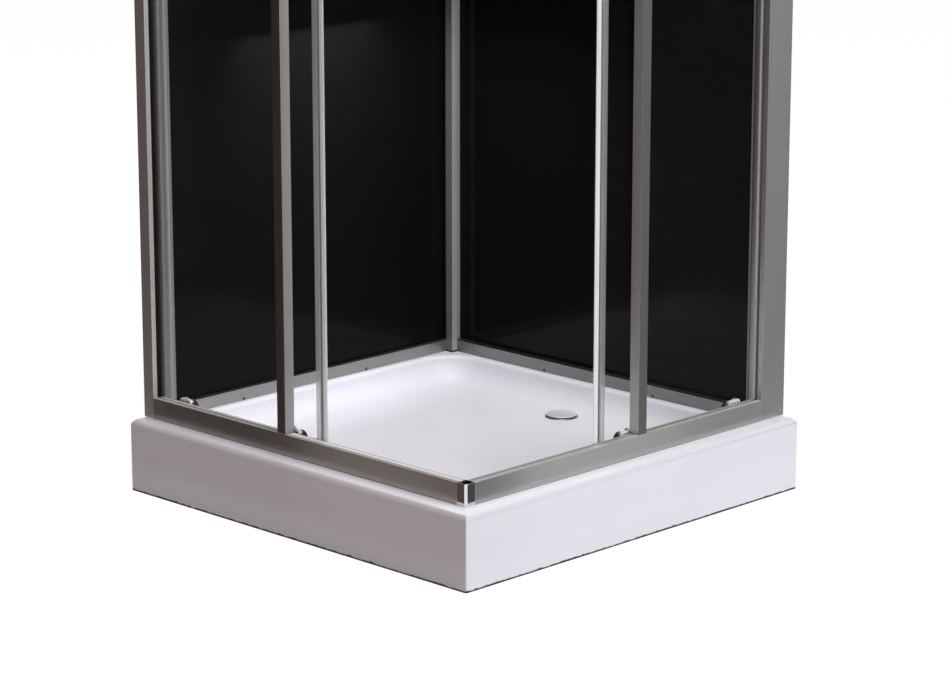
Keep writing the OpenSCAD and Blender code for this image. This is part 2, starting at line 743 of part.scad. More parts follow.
module hanger(s) {
  d0 = door_set + door_t;
  plate_across(d0, d0 + plate_t + 0.5) slot2d([s, hanger_screw_z], [s, top_axle_z], hanger_w / 4);
  plate_across(d0, d0 + plate_t + 0.5)
    slot2d([s - hanger_w / 4, hanger_screw_z], [s + hanger_w / 4, hanger_screw_z], hanger_w / 4);
  axle(s, top_axle_z, top_axle_r, d0, wheel_out);
  across(s, hanger_screw_z, hanger_screw_r, door_set - 1, d0 + 1);
  across(s, hanger_screw_z, 2 * hanger_screw_r, door_set - 2.5, door_set);
}

module hangers(tip) for (i = [0, 1]) hanger(wheel_s(tip, i));

module guide_plate(s) {
  c = s + (screw_from_wheel - pivot_dx) / 2;
  difference() {
    plate_across(door_set - guide_plate_t, door_set)
      slot2d([c - guide_plate_l / 2 + 6, pivot_z], [c + guide_plate_l / 2 - 6, pivot_z], 6);
    for (k = [-1, 0, 1])
      plate_across(door_set - guide_plate_t - 1, door_set - guide_plate_t + 1.2)
        slot2d([c + 8 * k - 1.5, pivot_z], [c + 8 * k + 1.5, pivot_z], 1.5);
  }
  axle(s - pivot_dx, pivot_z, pivot_r, door_set - 1, arm_in + plate_t);
  across(s + screw_from_wheel, pivot_z, pivot_r, door_set - 1, door_set + door_t);
}

module guides(tip) for (i = [0, 1]) guide_plate(wheel_s(tip, i));

module guide_arm(s) {
  difference() {
    plate_across(arm_in, arm_in + plate_t) slot2d([s - pivot_dx, pivot_z], [s, guide_axle_z], arm_w / 2);
    across(s - pivot_dx, pivot_z, pivot_r + run_gap, arm_in - 1, arm_in + plate_t + 1);
  }
  axle(s, guide_axle_z, guide_axle_r, arm_in, wheel_out);
}

// Wheel with a groove round it and a bore for its axle
module wheel(s, z, r, bore) translate([s, wheel_in, z]) rotate([-90, 0, 0]) {
  g = fin_t / 2 + side_gap;
  m = wheel_t / 2;
  rotate_extrude($fn = 64) polygon([
    [bore, 0], [r * 0.55, 0], [r * 0.6, 0.3], [r - 1.2, 0.3], [r, 0.7],
    [r, m - g - 0.3], [r - wheel_groove, m - g], [r - wheel_groove, m + g], [r, m + g + 0.3],
    [r, wheel_t - 0.7], [r - 1.2, wheel_t - 0.3], [r * 0.6, wheel_t - 0.3],
    [r * 0.55, wheel_t], [bore, wheel_t]
  ]);
}

module top_wheel(tip, i) wheel(wheel_s(tip, i), top_axle_z, top_wheel_r, top_axle_r + run_gap);
module guide_wheel(tip, i) wheel(wheel_s(tip, i), guide_axle_z, guide_wheel_r, guide_axle_r + run_gap);

module front_door_glass() color(clear_glass) on_front() door_pane(front_open);
module side_door_glass() color(clear_glass) on_side() door_pane(side_open);
module front_door_edge() color(chrome) on_front() edge_profile(front_open);
module side_door_edge() color(chrome) on_side() edge_profile(side_open);
module front_magnet_strip() color(plastic) on_front() closing_strip(front_open);
module side_magnet_strip() color(plastic) on_side() closing_strip(side_open);
module front_handle() color(chrome) on_front() handle(front_open);
module side_handle() color(chrome) on_side() handle(side_open);
module front_hangers() color(chrome) on_front() hangers(front_open);
module side_hangers() color(chrome) on_side() hangers(side_open);
module front_guides() color(chrome) on_front() guides(front_open);
module side_guides() color(chrome) on_side() guides(side_open);
module front_top_wheel(i) color(rubber) on_front() top_wheel(front_open, i);
module side_top_wheel(i) color(rubber) on_side() top_wheel(side_open, i);
module front_guide_arm(i) color(chrome) on_front() guide_arm(wheel_s(front_open, i));
module side_guide_arm(i) color(chrome) on_side() guide_arm(wheel_s(side_open, i));
module front_guide_wheel(i) color(rubber) on_front() guide_wheel(front_open, i);
module side_guide_wheel(i) color(rubber) on_side() guide_wheel(side_open, i);

// Shower: a bar mixer on two supply pipes, a rigid riser and a tilting head
bar_y = back_face - mixer_reach;
bar_over = 30;                         // bar beyond each supply pipe
mixer_l = supply_span + 2 * bar_over;
rosette_r = 34;
rosette_h = 9;
boss_r = 26;
boss_y = bar_y - mixer_r - 5;
cart_r = 20;
cart_sink = 10;
cart_out = 20;
lever_w = 8;
lever_eye = 7.5;
lever_pin_r = 3;
lever_y = boss_y - cart_out + 8;
supply_tail = 26;
mixer_supplies = [mixer_x - supply_span / 2, mixer_x + supply_span / 2];
riser_foot = mixer_r + 6;
outlet_r = riser_r + 4;
outlet_h = mixer_r + 16;
chamber_r = 14;
supply_bore = 7;
port_r = 3;

module along_y(x, z, r, y0, y1) translate([x, y0, z]) rotate([-90, 0, 0]) cylinder(r = r, h = y1 - y0);

// The bar is hollow: supply pipes at the back, ports to the cartridge, outlet on top
module mixer_body() color(chrome) difference() {
  union() {
    translate([mixer_x - mixer_l / 2, bar_y, mixer_z]) rotate([0, 90, 0])
      cylinder(r = mixer_r, h = mixer_l);
    along_y(mixer_x, mixer_z, boss_r, boss_y, bar_y);
    translate([mixer_x, bar_y, mixer_z]) cylinder(r = outlet_r, h = outlet_h);
    for (x = mixer_supplies) {
      along_y(x, mixer_z, supply_r + 5, bar_y, back_face - rosette_h);
      translate([x, back_face, mixer_z]) rotate([90, 0, 0]) rotate_extrude()
        polygon([[0, 0], [rosette_r, 0], [rosette_r, 2], [rosette_r - 10, rosette_h], [0, rosette_h]]);
      along_y(x, mixer_z, supply_r, back_face - 1, back_face + wall_glass_t + supply_tail);
    }
  }
  translate([mixer_x - mixer_l / 2 + 6, bar_y, mixer_z]) rotate([0, 90, 0])
    cylinder(r = chamber_r, h = mixer_l - 12);
  along_y(mixer_x, mixer_z, cart_r + run_gap, boss_y - 1, boss_y + cart_sink);
  for (x = [-8, 8]) along_y(mixer_x + x, mixer_z, port_r, boss_y, bar_y);
  for (x = mixer_supplies) along_y(x, mixer_z, supply_bore, bar_y, half);
  translate([mixer_x, bar_y, mixer_z]) cylinder(r = supply_bore, h = outlet_h);
  translate([mixer_x, bar_y, mixer_z + riser_foot]) cylinder(r = riser_r + run_gap, h = outlet_h);
}

module mixer_cartridge() color(chrome) {
  difference() {
    along_y(mixer_x, mixer_z, cart_r, boss_y - cart_out, boss_y + cart_sink - side_gap);
    translate([mixer_x - lever_w / 2 - side_gap, boss_y - cart_out - 1, mixer_z - cart_r - 1])
      cube([lever_w + 2 * side_gap, cart_out - 2, 2 * cart_r + 2]);
  }
  translate([mixer_x - cart_r * 0.8, lever_y, mixer_z]) rotate([0, 90, 0])
    cylinder(r = lever_pin_r, h = cart_r * 1.6);
}

module mixer_lever() color(chrome) difference() {
  union() {
    translate([mixer_x - lever_w / 2, lever_y, mixer_z]) rotate([0, 90, 0])
      cylinder(r = lever_eye, h = lever_w);
    translate([mixer_x + lever_w / 2, 0, 0]) rotate([0, -90, 0]) linear_extrude(lever_w)
      slot2d([mixer_z, lever_y], [mixer_z - 4, lever_y - 22], 5);
    translate([mixer_x, lever_y - 22, mixer_z - 4]) rotate([78, 0, 0]) linear_extrude(6, center = true)
      slot2d([0, 0], [0, -lever_len], 11);
  }
  translate([mixer_x - lever_w, lever_y, mixer_z]) rotate([0, 90, 0])
    cylinder(r = lever_pin_r + run_gap, h = 2 * lever_w);
}

riser_wall = 1.5;
bend = 60;
drop_bend = 36;
ball_r = 10;
ball_drop = 34;
ball_z = arm_z - drop_bend - ball_drop;
head_y = bar_y - arm_reach;
bracket_drop = 70;
bracket_z = arm_z - bend - bracket_drop;

// The pipe's run from the mixer to its end cap over the ball, with radius r
module riser_run(r, tail) {
  translate([0, bar_y, mixer_z + riser_foot]) cylinder(r = r, h = arm_z - bend - mixer_z - riser_foot);
  translate([0, bar_y - bend, arm_z - bend]) rotate([90, 0, 90])
    rotate_extrude(angle = 90) translate([bend, 0]) circle(r);
  along_y(0, arm_z, r, head_y + drop_bend, bar_y - bend);
  translate([0, head_y + drop_bend, arm_z - drop_bend]) rotate([90, 0, 90])
    rotate([0, 0, 90]) rotate_extrude(angle = 90) translate([drop_bend, 0]) circle(r);
  translate([0, head_y, arm_z - drop_bend - tail]) cylinder(r = r, h = tail);
}

module riser_pipe() color(chrome) translate([mixer_x, 0, 0]) difference() {
  union() {
    riser_run(riser_r, 14);
    translate([0, head_y, ball_z]) cylinder(r = ball_r * 0.6, h = arm_z - drop_bend - ball_z - 12);
    translate([0, head_y, ball_z]) sphere(ball_r);
    along_y(0, bracket_z, riser_r * 0.8, bar_y, back_face - 6);
    translate([0, back_face, bracket_z]) rotate([90, 0, 0]) rotate_extrude()
      polygon([[0, 0], [22, 0], [22, 2], [14, 8], [0, 8]]);
    translate([0, bar_y, bracket_z - 10]) cylinder(r = riser_r + 4, h = 20);
  }
  riser_run(riser_r - riser_wall, 8);
  translate([0, bar_y, mixer_z]) cylinder(r = riser_r - riser_wall, h = 2 * riser_foot);
  translate([0, head_y, ball_z - ball_r - 1]) cylinder(r = port_r, h = arm_z - drop_bend - ball_z + ball_r);
}

plate_h = 8;
socket_r = ball_r + 5;
socket_top = 5;

module shower_head() color(chrome) translate([mixer_x, head_y, ball_z]) difference() {
  union() {
    translate([0, 0, -14]) cylinder(r = socket_r, h = 14 + socket_top);
    translate([0, 0, -22]) rotate_extrude() polygon([
      [0, 0], [head_r - 2, 0], [head_r, 2], [head_r, plate_h - 3],
      [head_r - 6, plate_h], [socket_r + 12, plate_h + 1], [socket_r, plate_h + 6], [0, plate_h + 6]
    ]);
  }
  sphere(ball_r + run_gap);
  cylinder(r1 = ball_r * 0.8, r2 = ball_r + 2, h = socket_top + 1);
  translate([0, 0, -22]) rotate_extrude() polygon([
    [0, 2], [head_r - 6, 2], [head_r - 8, plate_h - 2], [6, plate_h - 2], [6, plate_h + 6], [0, plate_h + 6]
  ]);
}

tray();
tray_frame();
tray_feet();
waste_flange();
waste_seal();
waste_trap();
waste_cap();
left_post();
right_post();
rear_post();
left_wall_rail();
back_wall_rail();
left_wall_top_rail();
back_wall_top_rail();
left_wall_glass();
back_wall_glass();
front_bottom_rail();
side_bottom_rail();
front_top_rail();
side_top_rail();
bottom_corner();
top_corner();
front_fixed_glass();
side_fixed_glass();
front_jamb();
side_jamb();
glazing_seals();
jamb_brushes();
door_stops();
frame_screws();
front_door_glass();
side_door_glass();
front_door_edge();
side_door_edge();
front_magnet_strip();
side_magnet_strip();
front_handle();
side_handle();
front_hangers();
side_hangers();
front_guides();
side_guides();
front_top_wheel(0);  // front_top_wheel_a
front_top_wheel(1);  // front_top_wheel_b
side_top_wheel(0);  // side_top_wheel_a
side_top_wheel(1);  // side_top_wheel_b
front_guide_arm(0);  // front_guide_arm_a
front_guide_arm(1);  // front_guide_arm_b
side_guide_arm(0);  // side_guide_arm_a
side_guide_arm(1);  // side_guide_arm_b
front_guide_wheel(0);  // front_guide_wheel_a
front_guide_wheel(1);  // front_guide_wheel_b
side_guide_wheel(0);  // side_guide_wheel_a
side_guide_wheel(1);  // side_guide_wheel_b
mixer_body();
mixer_cartridge();
mixer_lever();
riser_pipe();
shower_head();
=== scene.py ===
# Square shower cabin: acrylic tray, satin aluminium frame, black glass walls and
# two sliding glass doors, with a bar mixer and an overhead shower behind them.
import json
import math

import bpy
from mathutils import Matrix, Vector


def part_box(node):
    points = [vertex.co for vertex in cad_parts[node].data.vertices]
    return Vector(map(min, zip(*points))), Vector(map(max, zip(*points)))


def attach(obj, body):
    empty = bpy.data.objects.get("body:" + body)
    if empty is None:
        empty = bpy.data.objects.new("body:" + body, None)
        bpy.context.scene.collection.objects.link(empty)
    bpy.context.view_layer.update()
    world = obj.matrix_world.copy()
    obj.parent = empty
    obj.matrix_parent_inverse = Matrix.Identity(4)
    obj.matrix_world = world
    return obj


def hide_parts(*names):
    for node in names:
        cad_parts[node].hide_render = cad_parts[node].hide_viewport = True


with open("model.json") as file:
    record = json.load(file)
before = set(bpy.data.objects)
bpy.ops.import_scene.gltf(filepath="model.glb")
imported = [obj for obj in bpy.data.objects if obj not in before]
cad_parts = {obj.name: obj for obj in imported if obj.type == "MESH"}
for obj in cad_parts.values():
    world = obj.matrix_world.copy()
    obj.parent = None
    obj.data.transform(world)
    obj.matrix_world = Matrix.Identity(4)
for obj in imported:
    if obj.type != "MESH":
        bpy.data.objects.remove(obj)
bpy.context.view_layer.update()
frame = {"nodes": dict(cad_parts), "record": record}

# Camera: stands off the corner where the doors meet and looks slightly down.
# The photograph holds only the lowest 0.9 m of the cabin, so the lens is long.
looks_down = 0.24167
turned_from_front = 0.77731
camera = bpy.data.objects.new("camera", bpy.data.cameras.new("camera"))
camera.location = (4.1403, -4.1800, 1.7370)
camera.rotation_euler = (math.pi / 2 - looks_down, 0, turned_from_front)
camera.data.lens = 121.39
camera.data.sensor_width = 36
bpy.context.collection.objects.link(camera)
bpy.context.scene.camera = camera
bpy.context.scene.view_settings.view_transform = "Standard"


# Tray: one vacuum-formed acrylic sheet, glossy white, with a glass-fibre back.
# Its skirt reaches the floor. A thin ragged dark band painted along its foot is contact shadow,
# and the outer fillet under the rim is painted darker as shade.
MM = 0.001
X, Y, Z = range(3)
nodes = frame["nodes"]


class Value:
    """A number, colour or vector that varies over a surface."""

    def __init__(self, finish, socket):
        self.finish = finish
        self.socket = socket

    def maths(self, operation, *others):
        values = dict(enumerate((self, *others)))
        return self.finish.node("ShaderNodeMath", {"operation": operation}, values)

    def __add__(self, other):
        return self.maths("ADD", other)

    def __sub__(self, other):
        return self.maths("SUBTRACT", other)

    def __rsub__(self, other):
        return self.finish.node("ShaderNodeMath", {"operation": "SUBTRACT"}, {0: other, 1: self})

    def __mul__(self, other):
        return self.maths("MULTIPLY", other)

    __radd__ = __add__
    __rmul__ = __mul__

    def size(self):
        return self.maths("ABSOLUTE")

    def or_more(self, other):
        return self.maths("MAXIMUM", other)

    def above(self, limit):
        """1 over the limit and 0 under it."""
        return self.maths("GREATER_THAN", limit)

    def below(self, limit, soft=0.0):
        """1 under the limit and 0 over it, with a gentle step where it is soft."""
        if not soft:
            return self.maths("LESS_THAN", limit)
        return self.finish.node(
            "ShaderNodeMapRange", {"interpolation_type": "SMOOTHSTEP"},
            {"Value": self, "From Min": limit + soft, "From Max": limit - soft})


class Finish:
    """A material round one Principled shader."""

    def __init__(self, name, **constants):
        self.material = bpy.data.materials.new(name)
        self.material.use_nodes = True
        self.tree = self.material.node_tree
        self.shader = self.tree.nodes["Principled BSDF"]
        for key, value in constants.items():
            self.shader.inputs[key.replace("_", " ")].default_value = value
        self.place = self.node("ShaderNodeTexCoord", output="Object")

    def node(self, kind, settings=None, inputs=None, output=0):
        made = self.tree.nodes.new(kind)
        for key, value in (settings or {}).items():
            setattr(made, key, value)
        for key, value in (inputs or {}).items():
            if isinstance(value, Value):
                self.tree.links.new(value.socket, made.inputs[key])
            else:
                made.inputs[key].default_value = value
        return Value(self, made.outputs[output])

    def noise(self, scale, detail=3.0, stretch=(1, 1, 1), roughness=0.5):
        place = self.node("ShaderNodeMapping", None, {"Vector": self.place, "Scale": stretch})
        return self.node("ShaderNodeTexNoise", None,
                         {"Vector": place, "Scale": scale, "Detail": detail,
                          "Roughness": roughness})

    def axis(self, index):
        """Where the surface is along an axis, in metres."""
        return self.node("ShaderNodeSeparateXYZ", None, {"Vector": self.place}, index)

    def facing(self, index):
        """How far the surface looks along an axis, from -1 to 1."""
        normal = self.node("ShaderNodeNewGeometry", output="Normal")
        return self.node("ShaderNodeSeparateXYZ", None, {"Vector": normal}, index)

    def mix(self, factor, first, second):
        def colour(value):
            return value if isinstance(value, Value) else (*value, 1)
        return self.node("ShaderNodeMix", {"data_type": "RGBA"},
                         {0: factor, 6: colour(first), 7: colour(second)}, 2)

    def feed(self, **inputs):
        for key, value in inputs.items():
            self.tree.links.new(value.socket, self.shader.inputs[key.replace("_", " ")])

    def bump(self, height, distance, strength):
        self.feed(Normal=self.node("ShaderNodeBump", None,
                                   {"Height": height, "Distance": distance,
                                    "Strength": strength}))


def deselect():
    if bpy.context.object and bpy.context.object.mode != "OBJECT":
        bpy.ops.object.mode_set(mode="OBJECT")
    bpy.ops.object.select_all(action="DESELECT")


def activate(piece):
    deselect()
    piece.select_set(True)
    bpy.context.view_layer.objects.active = piece


def merged_copy(node):
    """A copy of a CAD node with its loose triangles joined into flat faces."""
    piece = nodes[node].copy()
    piece.data = nodes[node].data.copy()
    piece.parent = None
    bpy.context.collection.objects.link(piece)
    activate(piece)
    bpy.ops.object.mode_set(mode="EDIT")
    bpy.ops.mesh.select_all(action="SELECT")
    bpy.ops.mesh.remove_doubles(threshold=0.01 * MM)
    bpy.ops.mesh.dissolve_limited(angle_limit=math.radians(0.3))
    bpy.ops.mesh.select_all(action="DESELECT")
    bpy.ops.object.mode_set(mode="OBJECT")
    return piece


def round_edges(piece, chosen, radius, segments):
    """Rounds the edges of the active piece whose two ends pass a test."""
    bpy.context.tool_settings.mesh_select_mode = (False, True, False)
    for edge in piece.data.edges:
        edge.select = chosen(*(piece.data.vertices[v].co for v in edge.vertices))
    bpy.ops.object.mode_set(mode="EDIT")
    bpy.ops.mesh.bevel(offset=radius, segments=segments, affect="EDGES")
    bpy.ops.object.mode_set(mode="OBJECT")


def smooth():
    bpy.ops.object.shade_smooth_by_angle(angle=math.radians(30))


def keep_flat(piece):
    """Lets the large faces of the active piece look flat beside rounded edges."""
    smooth()
    weighted = piece.modifiers.new("flat_faces", "WEIGHTED_NORMAL")
    weighted.keep_sharp = True
    bpy.ops.object.modifier_apply(modifier=weighted.name)


def settle(piece, name, finish, body, slot, *stands_for):
    """Places a new piece's mesh where it is, and gives it its body and material; slot is not
    used.
    """
    activate(piece)
    bpy.ops.object.transform_apply(location=True, rotation=True, scale=True)
    piece.name = piece.data.name = name
    piece.data.materials.clear()
    piece.data.materials.append(finish.material)
    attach(piece, body)
    if stands_for:
        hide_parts(*stands_for)
    return piece


skirt_from, basin_within, rim_top = 420 * MM, 400 * MM, 142 * MM
acrylic = Finish("white_acrylic", Coat_Weight=0.05, Coat_Roughness=0.06, Specular_IOR_Level=0.25)
cloud = acrylic.noise(2.2, 4)
speck = acrylic.noise(55, 5, roughness=0.7)
ragged = acrylic.noise(90, 4)
strand = acrylic.noise(70, 6, stretch=(1, 1, 0.3), roughness=0.8)
# Painted contact shadow: a thin ragged near-black band at the skirt's foot, also made rougher.
painted_contact_shadow = (acrylic.axis(Z) - ragged * (6 * MM)).below(0.5 * MM, 1 * MM)
reach = acrylic.axis(X).size().or_more(acrylic.axis(Y).size())
outward = acrylic.facing(X) * acrylic.axis(X) + acrylic.facing(Y) * acrylic.axis(Y)
upward = acrylic.facing(Z)
skirt = reach.above(skirt_from)
skirt_back = skirt * outward.below(-0.1)
basin_back = (1.0 - skirt) * outward.above(0.05)
fibre = upward.below(-0.3).or_more(skirt_back + basin_back)
# Painted shade: the outer fillet under the rim, between up-facing and outward-facing, is made
# darker.
slope = upward * (1.0 - upward)
fillet_shade_mask = slope.or_more(0.0) * skirt
white = acrylic.mix(cloud, (0.76, 0.755, 0.815), (0.84, 0.835, 0.875))
specked = acrylic.mix((speck - 0.62) * 0.6, white, (0.70, 0.69, 0.74))
backed = acrylic.mix(fibre, specked, (0.50, 0.49, 0.43))
fillet_shaded_colour = acrylic.mix(fillet_shade_mask * 3.2, backed, (0.60, 0.59, 0.64))
acrylic.feed(
    Base_Color=acrylic.mix(painted_contact_shadow, fillet_shaded_colour, (0.035, 0.028, 0.024)),
    Roughness=0.17 + acrylic.noise(6, 4) * 0.12 + painted_contact_shadow * 0.4 + fibre * 0.4)
ripple = acrylic.noise(38, 2) + acrylic.noise(320, 2) * 0.06
acrylic.bump(ripple + strand * fibre * 4.0, 0.4 * MM, 0.35)


def basin_lip(*ends):
    return all(max(abs(end.x), abs(end.y)) < basin_within and abs(end.z - rim_top) < 0.2 * MM
               for end in ends)


tray = merged_copy("tray")
round_edges(tray, basin_lip, 7 * MM, 5)
keep_flat(tray)
settle(tray, "tray_shell", acrylic, "cabin", "acrylic", "tray")


# Frame and feet under the tray: hot-dip galvanised square tube, and feet with a
# threaded rod, a lock nut and a rubber pad, wound to level when it is fitted.
def body_of(node):
    for name, members in frame["record"]["behaviour"]["bodies"].items():
        if node in members:
            return name
    raise ValueError(node)


def slot_of(node):
    return next(s["material_slot"] for s in frame["record"]["subparts"] if s["node"] == node)


def finish_node(name, finish):
    """Gives a CAD node that keeps its shape its material."""
    mesh = nodes[name].data
    mesh.materials.clear()
    mesh.materials.append(finish.material)


def bevel(piece, width, segments=2, angle=40):
    modifier = piece.modifiers.new("bevel", "BEVEL")
    modifier.width = width
    modifier.segments = segments
    modifier.limit_method = "ANGLE"
    modifier.angle_limit = math.radians(angle)
    activate(piece)
    bpy.ops.object.modifier_apply(modifier=modifier.name)
    keep_flat(piece)


def softened(node, finish, width, segments=2):
    """A CAD node with its sharp edges broken, in place of the node."""
    piece = merged_copy(node)
    bevel(piece, width, segments)
    return settle(piece, node + "_skin", finish, body_of(node), slot_of(node), node)


galvanised = Finish("galvanised_steel", Metallic=1.0)
spangle = galvanised.node("ShaderNodeTexVoronoi", None,
                          {"Vector": galvanised.place, "Scale": 85}, "Color")
flake = galvanised.node("ShaderNodeRGBToBW", None, {"Color": spangle})
galvanised.feed(Base_Color=galvanised.mix(flake, (0.42, 0.43, 0.45), (0.6, 0.61, 0.63)),
                Roughness=0.32 + flake * 0.22)
galvanised.bump(galvanised.noise(60, 4), 0.3 * MM, 0.4)
softened("tray_frame", galvanised, 1.2 * MM)

pad_height = 8 * MM
foot_finish = Finish("foot_rubber")
rod = foot_finish.axis(Z).above(pad_height)
thread = foot_finish.node("ShaderNodeTexWave", {"bands_direction": "Z", "wave_profile": "TRI"},
                          {"Vector": foot_finish.place, "Scale": 210, "Distortion": 0.3})
foot_finish.feed(Base_Color=foot_finish.mix(rod, (0.02, 0.02, 0.021), (0.5, 0.5, 0.51)),
                 Metallic=rod * 1.0, Roughness=0.75 - rod * 0.4)
foot_finish.bump(thread * rod + foot_finish.noise(200, 3) * 0.2, 0.5 * MM, 0.8)
finish_node("tray_feet", foot_finish)


# Waste: a rim and a lift-off cap of satin-chromed brass over a white plastic trap,
# with a rubber seal pressed against the underside of the basin by a ring nut.
def satin_metal(name, tone, metallic, roughness):
    made = Finish(name, Metallic=metallic)
    haze = made.noise(12, 5)
    grain = made.noise(260, 4, roughness=0.7)
    made.feed(Base_Color=made.mix(haze, (tone * 0.9,) * 3, (tone, tone, tone * 1.01)),
              Roughness=roughness - 0.06 + haze * 0.08 + grain * 0.08)
    made.bump(grain, 0.06 * MM, 0.5)
    return made


def turned(place, radius, length, axis=Z, sides=32, upper=None):
    """A rod with its middle at a place, or a cone where its upper end has its own radius."""
    deselect()
    turn = ((0, math.pi / 2, 0), (math.pi / 2, 0, 0), (0, 0, 0))[axis]
    bpy.ops.mesh.primitive_cone_add(
        vertices=sides, radius1=radius, radius2=upper or radius, depth=length,
        location=place, rotation=turn)
    bpy.ops.object.transform_apply(location=True, rotation=True, scale=True)
    return bpy.context.object


finish_node("waste_flange", satin_metal("waste_rim_metal", 0.34, 0.8, 0.25))

low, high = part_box("waste_cap")
cap_radius = (high.x - low.x) / 2
cap_middle = Vector(((low.x + high.x) / 2, (low.y + high.y) / 2, 0))


def cap_rim(*ends):
    level = abs(ends[0].z - ends[1].z) < 0.01 * MM
    return level and all((end - cap_middle).xy.length > cap_radius - 0.05 * MM for end in ends)


# The cap is satin chrome like the rim, but its pale, barely metallic tone is painted reflection
# of the white round it.
cap = merged_copy("waste_cap")
round_edges(cap, cap_rim, 0.5 * MM, 3)
smooth()
settle(cap, "waste_cap_skin", satin_metal("waste_cap_painted_reflection", 0.8, 0.3, 0.3), "waste_cap",
       slot_of("waste_cap"), "waste_cap")

trap_plastic = Finish("trap_polypropylene")
trap_plastic.feed(
    Base_Color=trap_plastic.mix(trap_plastic.noise(8, 4), (0.72, 0.72, 0.71), (0.8, 0.8, 0.79)),
    Roughness=0.38 + trap_plastic.noise(30, 4) * 0.2)
trap_plastic.bump(trap_plastic.noise(260, 3), 0.2 * MM, 0.4)
softened("waste_trap", trap_plastic, 1.2 * MM)

low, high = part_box("waste_seal")
nut_radius, nut_height, nut_drop = 39.5 * MM, 11 * MM, 6.5 * MM
nut_middle = ((low.x + high.x) / 2, (low.y + high.y) / 2, low.z - nut_drop)
trap_nut = turned(nut_middle, nut_radius, nut_height, sides=24)
bevel(trap_nut, 0.8 * MM, segments=1, angle=10)
settle(trap_nut, "trap_ring_nut", trap_plastic, "cabin", "light_plastic")

seal_rubber = Finish("seal_rubber")
seal_rubber.feed(
    Base_Color=seal_rubber.mix(seal_rubber.noise(40, 4), (0.018, 0.018, 0.02),
                               (0.04, 0.04, 0.042)),
    Roughness=0.55 + seal_rubber.noise(120, 4) * 0.3)
seal_rubber.bump(seal_rubber.noise(300, 3), 0.3 * MM, 0.5)
finish_node("waste_seal", seal_rubber)


# Posts, rails and the panes' end profiles: extruded aluminium, anodised satin. Die
# lines run along each length, so every direction has finishes of its own. The copies
# also differ in tone, and faces that look along one axis are made lighter or darker,
# as painted light and shade.
def aluminium(name, along, tone=0.5, roughness=0.36, metallic=1.0, painted_light_faces=None, behind=None):
    """The fourth argument is the axis, tone and metallic share of the faces that look along that
    axis; that tone is painted light and shade.

    Behind keeps it to the faces that stand further back than that Y."""
    made = Finish(name, Metallic=metallic)
    lines = [1.0 if axis == along else 55.0 for axis in (X, Y, Z)]
    die = made.noise(6, 6, stretch=lines, roughness=0.7)
    fine = made.noise(30, 4, stretch=lines, roughness=0.7)
    shade = die * 0.55 + fine * 0.25 + made.noise(3, 3) * 0.2

    def worn(tone):
        return made.mix(shade, (tone * 0.74, tone * 0.725, tone * 0.70),
                        (tone * 1.12, tone * 1.10, tone * 1.08))

    colour = worn(tone)
    if painted_light_faces:
        axis, painted_light_tone, painted_light_metallic = painted_light_faces
        painted_light_mask = made.facing(axis).above(0.7)
        if behind is not None:
            painted_light_mask = painted_light_mask * made.axis(Y).above(behind)
        colour = made.mix(painted_light_mask, colour, worn(painted_light_tone))
        made.feed(Metallic=metallic + painted_light_mask * (painted_light_metallic - metallic))
    made.feed(Base_Color=colour, Roughness=roughness - 0.08 + shade * 0.2)
    made.bump(fine + die * 0.5, 0.06 * MM, 0.5)
    return made


post_front_edge = -402 * MM
# Painted light and shade: each part's copy of the one anodised aluminium has its own tone, and
# the faces picked out along one axis get a lighter or darker tone and metal share.
satin_up = aluminium("satin_aluminium_upright", Z)
satin_front = aluminium("satin_aluminium_front", X, painted_light_faces=(Z, 0.45, 0.25))
satin_side = aluminium("satin_aluminium_side", Y, 0.52, painted_light_faces=(Z, 0.58, 0.25))
wall_front = aluminium("wall_rail_back", X, 0.27)
wall_side = aluminium("wall_rail_left", Y, 0.42)
column = aluminium("rear_column", Z, 0.19, 0.4, 0.35, painted_light_faces=(X, 0.53, 0.35))
left_up = aluminium("left_post_satin", Z, 0.6, 0.4, 0.75, painted_light_faces=(X, 0.3, 0.75),
                    behind=post_front_edge)
front_up = aluminium("front_jamb_satin", Z, 0.26, painted_light_faces=(X, 0.5, 1.0))
side_up = aluminium("side_jamb_satin", Z, painted_light_faces=(X, 0.18, 1.0))
for node, finish in (
        ("left_post", left_up), ("right_post", satin_up), ("rear_post", column),
        ("left_wall_rail", wall_side), ("back_wall_rail", wall_front),
        ("left_wall_top_rail", wall_side), ("back_wall_top_rail", wall_front),
        ("front_bottom_rail", satin_front), ("side_bottom_rail", satin_side),
        ("front_top_rail", satin_front), ("side_top_rail", satin_side),
        ("front_jamb", front_up), ("side_jamb", side_up)):
    softened(node, finish, 0.3 * MM)


# Rail fillers and beads: vinyl strips pressed into the bottom rails' open groove,
# behind the fixed pane and beyond it, painted pale in the front wing as light and dark
# in the side wing as shade, and a grey bead of sealant along each rail's foot that
# stands in for the thin shadow line there.
def fine_grained(name, scale, dark, light, roughness, spread, strength):
    """A plain plastic, rubber or sealant with an even grain."""
    made = Finish(name)
    grain = made.noise(scale, 4)
    made.feed(Base_Color=made.mix(grain, dark, light), Roughness=roughness + grain * spread)
    made.bump(grain, 0.1 * MM, strength)
    return made


def block(low, high):
    """A box between two corners."""
    deselect()
    bpy.ops.mesh.primitive_cube_add(size=1, location=[(a + b) / 2 for a, b in zip(low, high)])
    made = bpy.context.object
    made.scale = [b - a for a, b in zip(low, high)]
    bpy.ops.object.transform_apply(location=True, rotation=True, scale=True)
    return made


def joined(pieces):
    deselect()
    for piece in pieces:
        piece.select_set(True)
    bpy.context.view_layer.objects.active = pieces[0]
    bpy.ops.object.join()
    return pieces[0]


